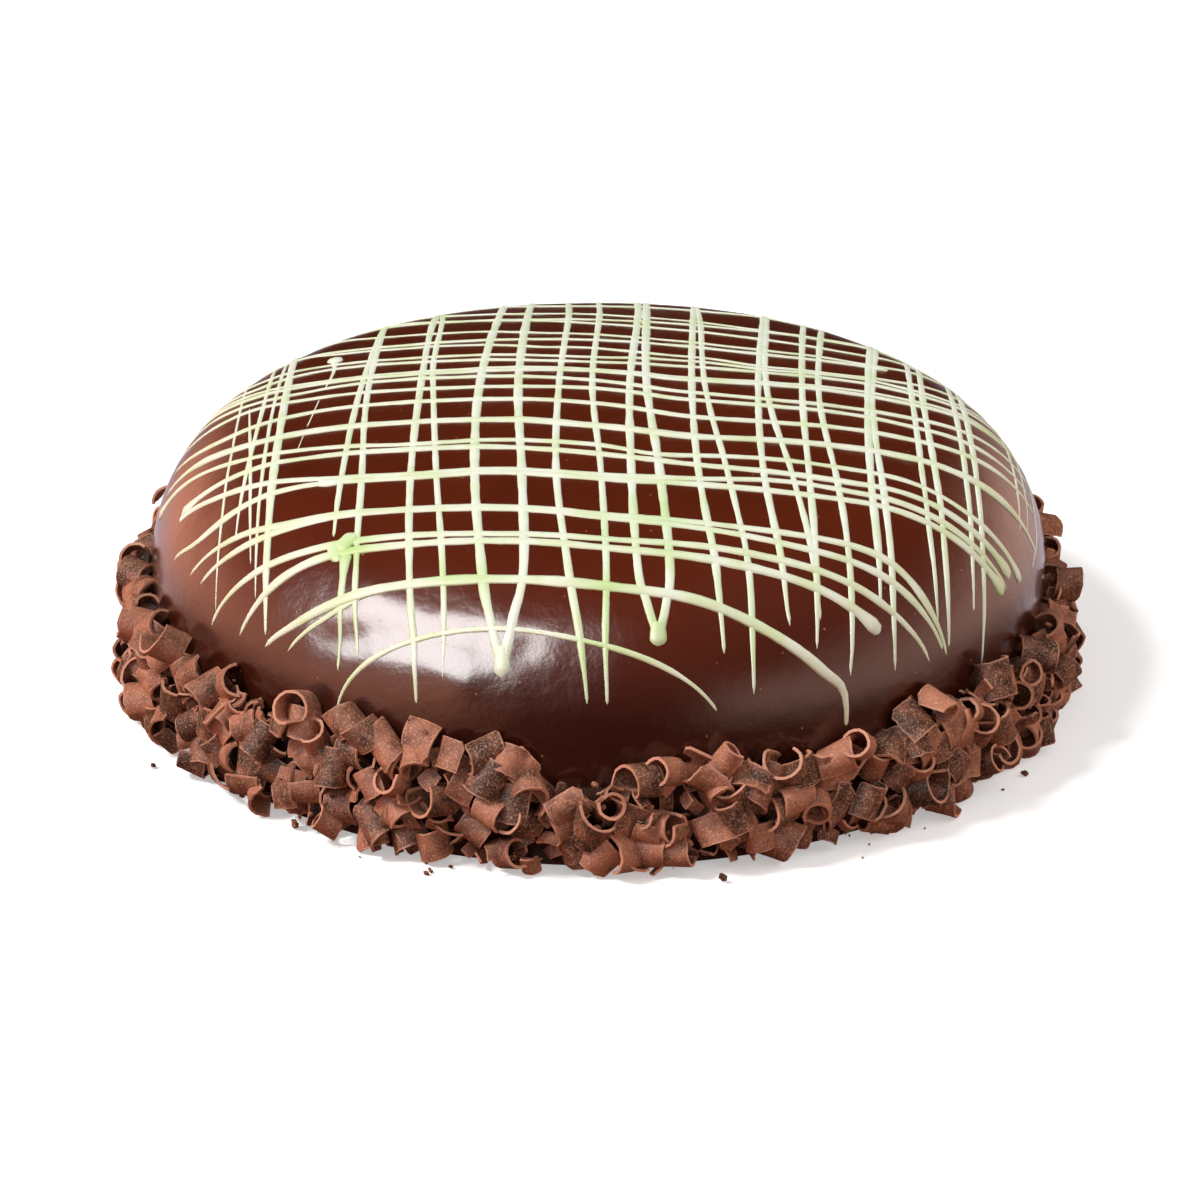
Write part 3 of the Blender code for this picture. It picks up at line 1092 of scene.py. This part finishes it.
    def build(self) -> None:
        """Pipes the strokes from back to front, then those from side to side, then the drops."""
        even, thin, fading = Fullness(), Fullness(0.88, 0.92), Fullness(1.1, 0.7)
        laid = self.pipe(LENGTHWAYS, "mint_drizzle_lengthways", self.lengthways, thin, [])
        self.pipe(CROSSWAYS, "mint_drizzle_crossways", self.crossways, fading, laid)
        self.pipe(DROPS, "mint_drizzle_drops", self.lengthways, even, [])


# ------------------------------------------------------------------- the curls


@dataclass(frozen=True)
class CurlKind:
    """A kind of curl: its strip before it curled, how it rolled up, and how it lies in the band.

    Lengths are in millimetres and angles in degrees. The slant is the angle between its bend's axis and
    the way that the band faces, and the roll is how far it may be turned about that axis. How proud it
    stands is the height of its middle over the band's face.
    """

    name: str
    count: int
    patterns: int
    length: Span
    width: Span
    arc: Span
    lean: Span
    bend_steps: int
    axis_slant: Span
    roll_spread: float
    across: int = 4
    proud: Span = (-1.8, 1.4)
    wall: float = 0.6
    highest: float = 1.0


CURL_KINDS: tuple[CurlKind, ...] = (
    CurlKind("rolls", 140, 12, (16.0, 21.5), (5.2, 7.6), (300.0, 400.0), (4.0, 14.0), 15, (25.0, 80.0), 70.0),
    CurlKind(
        "open_curls", 195, 12, (10.5, 14.5), (5.4, 8.6), (190.0, 270.0), (0.0, 16.0), 11, (50.0, 90.0), 30.0
    ),
    CurlKind("shards", 120, 12, (7.5, 10.5), (5.2, 8.2), (90.0, 150.0), (0.0, 25.0), 7, (60.0, 90.0), 22.0),
    CurlKind(
        "flakes", 560, 8, (3.5, 6.5), (2.0, 4.0), (60.0, 160.0), (0.0, 30.0), 4, (20.0, 90.0), 60.0,
        across=2, proud=(-4.0, 0.5), wall=0.5, highest=0.8,
    ),
)

# How high the band of curls reaches on the cake, as degrees from the right round by the front, and
# millimetres.
BAND_EDGE: tuple[Point, ...] = (
    (-180, 26),
    (-160, 26),
    (-144, 28),
    (-125, 26),
    (-112, 30),
    (-104, 30),
    (-97, 26),
    (-92, 19),
    (-85, 25),
    (-78, 24),
    (-71, 20),
    (-58, 22),
    (-50, 26),
    (-42, 28),
    (-30, 24),
    (0, 25),
    (60, 27),
    (120, 25),
    (180, 26),
)


@dataclass
class CurlBand:
    """The band of curls round the cake's foot, on a ring of packed chocolate coloured near black as painted
    shade.

    Angles are in degrees. Shares of a strip's corners and edges are of its width.
    """

    cake: GlazedCake
    foot_radius: float = 108.6 * MM
    foot_height: float = 2.0 * MM
    waist_radius: float = 108.2 * MM
    top_radius: float = 104.8 * MM
    climb_length: float = 33.0 * MM
    top_scatter: float = 3.0 * MM
    scatter_scale: float = 9.0
    bulge_top: float = 0.8
    slope_starts: float = 0.45
    tilt_starts: float = 0.55
    foot_tilt: float = -6.0
    top_tilt: float = 56.0
    front_reach: float = 112.3 * MM
    side_reach: float = 115.5 * MM
    sink: float = 0.8 * MM
    floor_gap: float = 0.15 * MM
    places_tried: int = 24
    whole_corners: float = 0.45
    snap_angle: Span = (20.0, 70.0)
    snap_depth: Span = (0.02, 0.12)
    edge_jitter: float = 0.03
    face_jitter: float = 0.006
    taper_chance: float = 0.5
    taper: Span = (-0.35, 0.35)
    core_radius: float = 104.0 * MM
    core_height: float = 18.0 * MM
    core_step: float = 1.5 * MM
    core_sides: int = 220
    core_lump: float = 1.9 * MM
    core_lump_length: float = 3.2 * MM
    crumbs: int = 560
    crumb_size: Span = (0.25, 1.0)
    crumbs_on_floor: float = 0.07
    crumb_reach: float = 6.0 * MM
    crumb_crowding: float = 1.6
    crumb_proud: Span = (-1.0, 2.0)
    crumb_width: Span = (0.6, 1.4)
    crumb_flatness: Span = (0.5, 1.0)
    seed: int = 23
    outer: ShavedFinish = ShavedFinish(
        "scraped_chocolate_dusty_face", "#4a2613", "#ae6e52", "#e8be9f", "#d5987b", 0.6, 0.48, 0.24
    )
    # The curls' hollow faces: smooth chocolate, coloured near black as painted shade inside the curls.
    inner: ShavedFinish = ShavedFinish(
        "scraped_chocolate_hollow_face_painted_shade", "#200c06", "#40200f", "#6a3e2c", "#8a5038", 0.45, 0.2, 0.08
    )
    # The curls' rim faces: broken edges, made pale as a painted highlight.
    snapped: ShavedFinish = ShavedFinish(
        "snapped_chocolate_edge_painted_highlight", "#a3603f", "#cf8f6e", "#d8a68a", "#cf8f6e", 0.6, 0.4, 0.1
    )
    # The packed ring under the curls: a layer of chocolate, coloured near black as painted shade in the gaps.
    packed: ShavedFinish = ShavedFinish(
        "packed_dark_chocolate_painted_shade", "#180904", "#3a1a0d", "#5e3322", "#3a1a0d", 0.95, 0.4, 0.6
    )

    def strip(self, kind: CurlKind, draw: random.Random, number: int) -> bpy.types.Object:
        """Cuts the flat strip of a curl, with snapped corners and ragged edges, and stands it upright.

        Args:
            kind: The kind of curl.
            draw: The source of chance.
            number: The pattern's number.

        Returns:
            The strip, with its length about along X.
        """
        length, width = draw.uniform(*kind.length) * MM, draw.uniform(*kind.width) * MM
        bpy.ops.object.select_all(action="DESELECT")
        bpy.ops.mesh.primitive_grid_add(
            x_subdivisions=kind.bend_steps, y_subdivisions=kind.across, size=1.0
        )
        strip = bpy.context.object
        strip.name = f"{kind.name}_pattern_{number}"
        bpy.ops.object.mode_set(mode="EDIT")
        bpy.ops.transform.resize(value=(length, width, 1.0))
        for side, end in ((-1, -1), (-1, 1), (1, -1), (1, 1)):
            if draw.random() < self.whole_corners:
                continue
            angle = math.radians(draw.uniform(*self.snap_angle))
            depth = draw.uniform(*self.snap_depth) * width
            away = Vector((end * math.cos(angle), side * math.sin(angle), 0.0))
            corner = Vector((end * length / 2, side * width / 2, 0.0))
            bpy.ops.mesh.select_all(action="SELECT")
            bpy.ops.mesh.bisect(plane_co=corner - away * depth, plane_no=away, clear_outer=True)
        bpy.ops.mesh.select_all(action="DESELECT")
        bpy.ops.mesh.select_non_manifold()
        bpy.ops.transform.vertex_random(offset=self.edge_jitter * width, seed=number + 1)
        bpy.ops.mesh.select_all(action="SELECT")
        bpy.ops.transform.vertex_random(offset=self.face_jitter * width, seed=number + 91)
        lean = math.radians(draw.uniform(*kind.lean) * draw.choice((-1, 1)))
        bpy.ops.transform.rotate(value=lean, orient_axis="Z", center_override=(0, 0, 0))
        bpy.ops.transform.rotate(value=math.pi / 2, orient_axis="X", center_override=(0, 0, 0))
        bpy.ops.object.mode_set(mode="OBJECT")
        return strip

    def model_curl(self, kind: CurlKind, draw: random.Random, number: int) -> bpy.types.Object:
        """Models one curl: a strip that is bent and given its wall.

        Args:
            kind: The kind of curl.
            draw: The source of chance.
            number: The pattern's number.

        Returns:
            The curl, about its own middle, with its hollow towards -Z and its bend's axis along X.
        """
        curl = self.strip(kind, draw, number)
        arc = math.radians(draw.uniform(*kind.arc))
        deform = "SIMPLE_DEFORM"
        if draw.random() < self.taper_chance:
            factor = draw.uniform(*self.taper)
            apply_modifier(curl, deform, deform_method="TAPER", deform_axis="X", factor=factor)
        apply_modifier(curl, deform, deform_method="BEND", deform_axis="Z", angle=arc)
        apply_modifier(
            curl,
            "SOLIDIFY",
            thickness=kind.wall * MM,
            offset=0.0,
            use_even_offset=True,
            material_offset=1,
            material_offset_rim=2,
        )
        lie_down = Matrix(((0.0, 0.0, 1.0), (-1.0, 0.0, 0.0), (0.0, -1.0, 0.0)))
        curl.data.transform(lie_down.to_4x4())
        # Slot 0 is the dusty outer face, slot 1 the hollow face in painted shade, slot 2 the rims in painted
        # highlight.
        for finish in (self.outer, self.inner, self.snapped):
            curl.data.materials.append(self.materials[finish.name])
        smooth_by_angle(curl, 40.0)
        places = [vert.co for vert in curl.data.vertices]
        curl.data.transform(Matrix.Translation(-sum(places, Vector()) / len(places)))
        return curl

    def band_point(self, azimuth: float, climb: float) -> tuple[Vector, Vector]:
        """A point of the band's face and the way that it faces.

        Args:
            azimuth: The angle round the cake, in radians.
            climb: From 0 at the foot to 1 at the band's top edge.

        Returns:
            The point and a unit vector outwards.
        """
        out = Vector((math.cos(azimuth), math.sin(azimuth), 0.0))
        turned = math.degrees(math.remainder(azimuth, 2 * math.pi))
        edge = float(np.interp(turned, *zip(*BAND_EDGE))) * MM
        scattered = noise.noise(Vector((out.x, out.y, 0.3)) * self.scatter_scale)
        top = edge + self.top_scatter * scattered
        height = self.foot_height + (top - self.foot_height) * climb
        bulge = math.sin(min(climb / self.bulge_top, 1.0) * math.pi)
        sloped, tilted = rise(self.slope_starts, 1.0, climb), rise(self.tilt_starts, 1.0, climb)
        reach = self.foot_radius + (self.top_radius - self.foot_radius) * sloped
        reach += (self.waist_radius - self.foot_radius) * bulge
        tilt = self.foot_tilt + (self.top_tilt - self.foot_tilt) * tilted
        facing = out * math.cos(math.radians(tilt)) + UP * math.sin(math.radians(tilt))
        return out * reach + UP * height, facing

    def spread(self, count: int, draw: random.Random) -> list[Point]:
        """Spreads places over the band evenly but not in rows: each is the loneliest of a few.

        Args:
            count: The number of places.
            draw: The source of chance.

        Returns:
            Places as (azimuth, climb).
        """
        size = np.array((2 * math.pi * self.foot_radius, self.climb_length))
        chosen = np.empty((count, 2))
        for i in range(count):
            picks = np.array([(draw.random(), draw.random()) for _ in range(self.places_tried)]) * size
            if i:
                apart = np.abs(picks[:, None, :] - chosen[None, :i, :])
                apart[..., 0] = np.minimum(apart[..., 0], size[0] - apart[..., 0])
                nearest = np.min(np.hypot(apart[..., 0], apart[..., 1]), axis=1)
                chosen[i] = picks[int(np.argmax(nearest))]
            else:
                chosen[i] = picks[0]
        return [(2 * math.pi * around / size[0], up / size[1]) for around, up in chosen]

    def pose(
        self, kind: CurlKind, azimuth: float, climb: float, proud: float, draw: random.Random
    ) -> Matrix:
        """A place and a turn for a curl in the band.

        Args:
            kind: The kind of curl.
            azimuth: The angle round the cake.
            climb: From 0 at the foot to 1 at the band's top edge.
            proud: How far the curl's middle stands off the band's face.
            draw: The source of chance.

        Returns:
            The curl's matrix.
        """
        place, facing = self.band_point(azimuth, climb)
        sideways = Vector((-math.sin(azimuth), math.cos(azimuth), 0.0))
        upright = facing.cross(sideways)
        heading = draw.uniform(0.0, 2 * math.pi)
        axis = sideways * math.cos(heading) + upright * math.sin(heading)
        third = facing.cross(axis)
        turn = Matrix((axis, third, facing)).transposed()
        slant = Matrix.Rotation(math.radians(draw.uniform(*kind.axis_slant) - 90.0), 3, third)
        roll = Matrix.Rotation(math.radians(draw.gauss(0.0, kind.roll_spread)), 3, axis)
        matrix = (slant @ roll @ turn).to_4x4()
        matrix.translation = place + facing * proud
        return matrix

    def settle(self, mesh: bpy.types.Mesh) -> None:
        """Moves a placed curl clear of the floor and of the cake's inside, and keeps it within reach.

        Args:
            mesh: The curl's mesh, in the scene's frame.
        """
        places = np.empty(len(mesh.vertices) * 3, np.float32)
        mesh.vertices.foreach_get("co", places)
        places = places.reshape(-1, 3)
        reach = np.hypot(places[:, 0], places[:, 1])
        middle = places.mean(axis=0)
        out = middle[:2] / np.hypot(*middle[:2])
        shift = max(self.cake.radius - self.sink - float(reach.min()), 0.0)
        limit = self.front_reach + (self.side_reach - self.front_reach) * abs(float(out[0])) ** 2
        shift -= max(float(reach.max()) + shift - limit, 0.0)
        drop = max(self.floor_gap - float(places[:, 2].min()), 0.0)
        mesh.transform(Matrix.Translation((out[0] * shift, out[1] * shift, drop)))

    def heap(self, kind: CurlKind, places: list[Point], draw: random.Random) -> None:
        """Copies a kind's patterns to their places and joins them.

        Args:
            kind: The kind of curl.
            places: Places as (azimuth, climb).
            draw: The source of chance.
        """
        patterns = [self.model_curl(kind, draw, number) for number in range(kind.patterns)]
        copies = []
        for number, (azimuth, climb) in enumerate(places):
            proud = draw.uniform(*kind.proud) * MM
            pose = self.pose(kind, azimuth, min(climb, kind.highest), proud, draw)
            copies.append(copied(patterns[number % kind.patterns], draw.random(), pose))
            self.settle(copies[-1].data)
        for pattern in patterns:
            bpy.data.objects.remove(pattern)
        self.dress(join_all(copies, f"chocolate_{kind.name}"))

    def dress(self, piece: bpy.types.Object) -> None:
        """Puts a piece under the root body, hides the model's curls that it stands in for, and reports it.

        Args:
            piece: The piece.
        """
        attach(piece, "root")
        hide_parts("chocolate_curls")
        log.info("%s: %d faces", piece.name, len(piece.data.polygons))

    def build_core(self) -> None:
        """Makes the ring of packed chocolate, whose near-black colour is painted shade between the curls."""
        inner, base, step = self.cake.radius - 0.6 * MM, 0.2 * MM, self.core_step
        rim = self.core_height - 2.0 * MM
        outline = [(inner, base), (self.core_radius, base)]
        outline += [(self.core_radius, step * i) for i in range(1, 11)]
        outline += [(self.core_radius - 0.5 * MM, rim), (inner, self.core_height)]
        core = turned_solid(outline, self.core_sides, "packed_chocolate_core")
        for vert in core.data.vertices:
            if vert.co.xy.length < self.cake.radius + 0.3 * MM or vert.co.z < 1.0 * MM:
                continue
            coarse = noise.noise(vert.co / self.core_lump_length)
            fine = noise.noise(vert.co / (0.4 * self.core_lump_length))
            lump = self.core_lump * (coarse + 0.5 * fine)
            vert.co += vert.co.xy.normalized().to_3d() * lump
        core.data.materials.append(self.materials[self.packed.name])
        smooth_by_angle(core, 35.0)
        self.dress(core)

    def crumb_pose(self, draw: random.Random) -> Matrix:
        """A place, a turn and a size for a crumb, on the floor at the foot or caught in the band.

        Args:
            draw: The source of chance.

        Returns:
            The crumb's matrix.
        """
        azimuth = draw.uniform(0.0, 2 * math.pi)
        least, most = self.crumb_size
        size = (least + (most - least) * draw.random() ** 2) * MM
        if draw.random() < self.crumbs_on_floor:
            away = draw.uniform(0.0, 1.0) ** self.crumb_crowding
            reach = self.foot_radius + away * self.crumb_reach
            place = Vector((reach * math.cos(azimuth), reach * math.sin(azimuth), 0.5 * size))
        else:
            place, facing = self.band_point(azimuth, draw.random())
            place += facing * draw.uniform(*self.crumb_proud) * MM
        wide, tall = draw.uniform(*self.crumb_width), draw.uniform(*self.crumb_flatness)
        stretch = Matrix.Diagonal((size * wide, size, size * tall, 1.0))
        turn = draw.uniform(0.0, 2 * math.pi)
        spin = Matrix.Rotation(turn, 4, Vector((draw.random(), draw.random(), 1.0)))
        return Matrix.Translation(place) @ spin @ stretch

    def build_crumbs(self, draw: random.Random) -> None:
        """Scatters crumbs that fell off the curls.

        Args:
            draw: The source of chance.
        """
        bpy.ops.object.select_all(action="DESELECT")
        bpy.ops.mesh.primitive_ico_sphere_add(subdivisions=1, radius=1.0)
        pattern = bpy.context.object
        bpy.ops.object.mode_set(mode="EDIT")
        bpy.ops.transform.vertex_random(offset=0.55, seed=5)
        bpy.ops.object.mode_set(mode="OBJECT")
        pattern.data.materials.append(self.materials[self.outer.name])
        copies = []
        for _ in range(self.crumbs):
            pose = self.crumb_pose(draw)
            copy = copied(pattern, draw.random(), pose)
            lowest = min(vert.co.z for vert in copy.data.vertices)
            copy.data.transform(Matrix.Translation(UP * max(0.05 * MM - lowest, 0.0)))
            copies.append(copy)
        bpy.data.objects.remove(pattern)
        self.dress(join_all(copies, "chocolate_crumbs"))

    def build(self) -> None:
        """Builds the core, then each kind of curl, then the crumbs."""
        finishes = (self.outer, self.inner, self.snapped, self.packed)
        self.materials = {finish.name: finish.build() for finish in finishes}
        draw = random.Random(self.seed)
        self.build_core()
        places = self.spread(sum(kind.count for kind in CURL_KINDS), draw)
        draw.shuffle(places)
        for kind in CURL_KINDS:
            self.heap(kind, places[: kind.count], draw)
            places = places[kind.count :]
        self.build_crumbs(draw)


# ------------------------------------------------------------------ the studio


@dataclass(frozen=True)
class SoftBox:
    """A lit panel that shows only in gloss: its place, its aim, its sides, and its power in watts."""

    name: str
    place: tuple[float, float, float]
    aim: tuple[float, float, float]
    size: Span
    power: float

    def build(self) -> None:
        """Hangs the panel."""
        light = bpy.data.lights.new(self.name, "AREA")
        light.shape = "RECTANGLE"
        light.size, light.size_y = self.size
        light.energy = self.power
        lamp = bpy.data.objects.new(self.name, light)
        lamp.location = self.place
        way = Vector(self.aim) - Vector(self.place)
        lamp.rotation_euler = way.to_track_quat("-Z", "Y").to_euler()
        lamp.visible_camera = False
        lamp.visible_diffuse = False
        bpy.context.scene.collection.objects.link(lamp)


@dataclass(frozen=True)
class FarLight:
    """A far light without a mirror image: where it comes from, its width in degrees, and its W/m2."""

    name: str
    way: tuple[float, float, float]
    width: float
    power: float

    def build(self) -> None:
        """Hangs the light."""
        light = bpy.data.lights.new(self.name, "SUN")
        light.energy = self.power
        light.angle = math.radians(self.width)
        lamp = bpy.data.objects.new(self.name, light)
        lamp.rotation_euler = (-Vector(self.way)).to_track_quat("-Z", "Y").to_euler()
        lamp.visible_glossy = False
        bpy.context.scene.collection.objects.link(lamp)


@dataclass
class Studio:
    """A white paper floor, a room that shows only in gloss and in shade, the lights, and the camera.

    The room's colours are those of its sides. Where one goes over to another is said by the X, Y or
    Z of the way that one looks.
    """

    floor_radius: float = 6.0
    left: str = "#f0a588"
    right: str = "#d2ab9c"
    front: str = "#140d09"
    ceiling: str = "#000000"
    below: str = "#35241d"
    behind: str = "#a89da6"
    brightness: float = 2.0
    left_to_right: Span = (-0.3, 0.3)
    front_to_side: Span = (0.25, 0.7)
    below_to_behind: Span = (0.4, 0.9)
    floor_to_wall: Span = (-0.45, 0.0)
    wall_to_ceiling: Span = (0.02, 0.60)
    lens_mm: float = 89.11
    sensor_mm: float = 36.0
    camera_place: tuple[float, float, float] = (0.00095, -0.63065, 0.30220)
    camera_down: float = 24.72
    camera_pan: float = 0.05
    camera_roll: float = 0.20
    lights: tuple[SoftBox | FarLight, ...] = (
        SoftBox("left_soft_box", (-0.52, -0.49, 0.55), (-0.02, -0.05, 0.04), (0.72, 0.50), 15.0),
        FarLight("window_light", (-0.65, -0.12, 0.75), 14.0, 2.7),
        FarLight("overhead_cloth", (0.0, 0.0, 1.0), 100.0, 0.6),
        FarLight("right_cloth", (0.75, -0.10, 0.65), 50.0, 0.9),
        FarLight("front_cloth", (0.0, -0.95, 0.30), 50.0, 0.35),
    )

    def build_floor(self) -> None:
        """Lays the paper floor."""
        bpy.ops.object.select_all(action="DESELECT")
        bpy.ops.mesh.primitive_circle_add(vertices=64, radius=self.floor_radius, fill_type="NGON")
        floor = bpy.context.object
        floor.name = floor.data.name = "studio_floor"
        floor.data.materials.append(FloorFinish().build())
        floor.visible_diffuse = False
        floor.visible_glossy = False

    def build_room(self) -> None:
        """Gives the room warm sides, a dark front and ceiling, and a pale ground behind the cake."""
        world = bpy.data.worlds.new("studio_room")
        world.use_nodes = True
        shading = Shading(world.node_tree)
        across, back, height = shading.parts(shading.place("Generated"))

        def over(value: Socket, ends: Span, first: Socket | Colour, second: Socket | Colour) -> Socket:
            """Goes smoothly from the first colour to the second between the ends."""
            return shading.blend(shading.ramp(value, ends, curve="SMOOTHSTEP"), first, second)

        sides = over(across, self.left_to_right, linear(self.left), linear(self.right))
        aside = shading.math("ABSOLUTE", across)
        walls = over(aside, self.front_to_side, linear(self.front), sides)
        above = over(height, self.wall_to_ceiling, walls, linear(self.ceiling))
        ground = over(back, self.below_to_behind, linear(self.below), linear(self.behind))
        room = over(height, self.floor_to_wall, ground, above)
        inputs = {"Color": room, "Strength": self.brightness}
        feed(world.node_tree, world.node_tree.nodes["Background"], inputs)
        bpy.context.scene.world = world
        bpy.context.scene.view_settings.view_transform = "Standard"

    def build_camera(self) -> None:
        """Sets up the camera, which looks down at the cake from its front."""
        data = bpy.data.cameras.new("camera")
        data.lens = self.lens_mm
        data.sensor_width = self.sensor_mm
        camera = bpy.data.objects.new("camera", data)
        camera.location = self.camera_place
        tilt = Matrix.Rotation(math.radians(90.0 - self.camera_down), 4, "X")
        pan = Matrix.Rotation(math.radians(self.camera_pan), 4, "Z")
        roll = Matrix.Rotation(math.radians(self.camera_roll), 4, "Z")
        camera.rotation_euler = (pan @ tilt @ roll).to_euler()
        bpy.context.scene.collection.objects.link(camera)
        bpy.context.scene.camera = camera

    def build(self) -> None:
        """Builds the floor, the room, the lights and the camera."""
        self.build_floor()
        self.build_room()
        for light in self.lights:
            light.build()
        self.build_camera()
        log.info("studio: floor, room, %d lights and camera", len(self.lights))


def main() -> None:
    """Builds the sub-assemblies in order."""
    logging.basicConfig(level=logging.INFO, format="%(message)s", stream=sys.stdout)
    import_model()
    cake = GlazedCake()
    cake.build()
    MintDrizzle(cake).build()
    CurlBand(cake).build()
    Studio().build()


if __name__ == "__main__":
    main()
